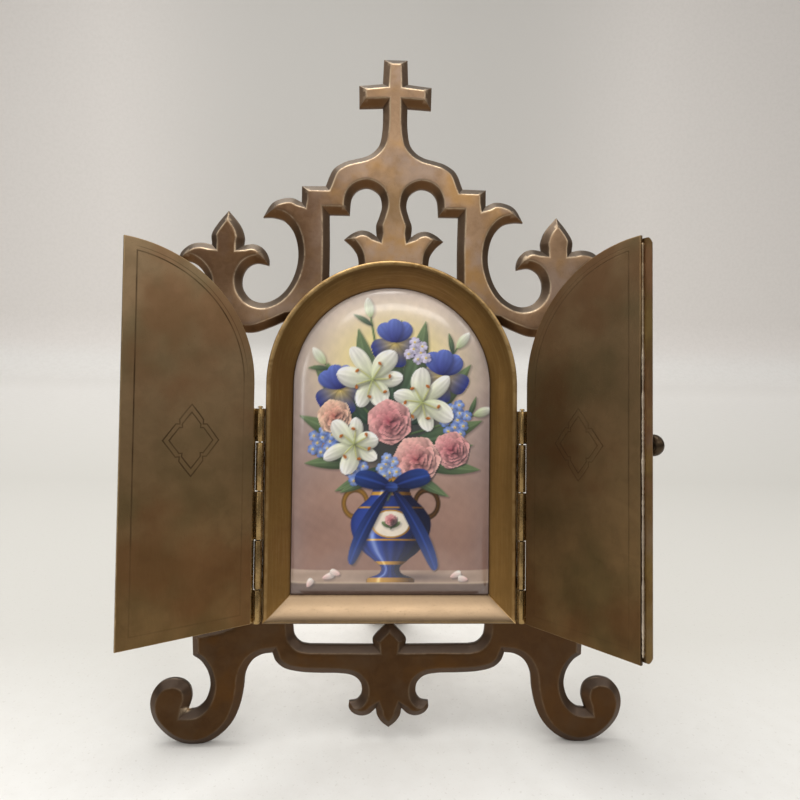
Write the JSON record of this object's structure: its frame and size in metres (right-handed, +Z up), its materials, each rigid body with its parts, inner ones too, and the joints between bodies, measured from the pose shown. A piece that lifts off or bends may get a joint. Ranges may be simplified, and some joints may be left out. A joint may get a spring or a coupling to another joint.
{
  "type": "porcelain plaque in a brass table-altar frame",
  "caption": "Arched painted porcelain plaque in an openwork brass table frame with a cross, hinged half-arch doors, scrolled feet and a folding back strut.",
  "frame": {"origin": "on the table, under the middle of the whole piece's bounds as it stands with its doors open", "axes": "+X to the right seen from the front, +Y to the back, +Z up; the frame leans back from +Z"},
  "size_m": [0.1902, 0.1408, 0.2753],
  "materials": {
    "aged_brass": "dark brown patina, worn bright on edges",
    "moulding_brass": "brushed, olive brown patina",
    "door_brass": "mottled olive brown patina, satin",
    "hinge_brass": "satin, lightly tarnished",
    "glazed_porcelain": "glossy glaze over painted colours"
  },
  "bodies": {
    "frame": {"openwork_plate": "aged_brass", "arch_frame": "moulding_brass", "porcelain_plaque": "glazed_porcelain", "back_cover": "door_brass", "left_frame_hinge_leaf": "hinge_brass", "left_hinge_pin": "hinge_brass", "right_frame_hinge_leaf": "hinge_brass", "right_hinge_pin": "hinge_brass", "strut_hinge_plate": "hinge_brass", "strut_hinge_pin": "hinge_brass"},
    "left_leaf": {"left_door": "door_brass", "left_door_hinge_leaf": "hinge_brass"},
    "right_leaf": {"right_door": "door_brass", "right_door_hinge_leaf": "hinge_brass", "door_astragal": "door_brass", "door_knob": "hinge_brass"},
    "strut": {"easel_strut": "door_brass"}
  },
  "joints": [
    {"name": "left_door_hinge", "type": "hinge", "parent": "frame", "child": "left_leaf", "pos_m": [-0.0516, -0.03677, 0.00122], "axis": [0, -0.1736, -0.9848], "range_deg": [-144.5, 35.5]},
    {"name": "right_door_hinge", "type": "hinge", "parent": "frame", "child": "right_leaf", "pos_m": [0.0516, -0.03677, 0.00122], "axis": [0, 0.1736, 0.9848], "range_deg": [-125.6, 54.4]},
    {"name": "strut_hinge", "type": "hinge", "parent": "frame", "child": "strut", "pos_m": [0, 0.00501, 0.14617], "axis": [1, 0, 0], "range_deg": [-33.8, 0]}
  ]
}
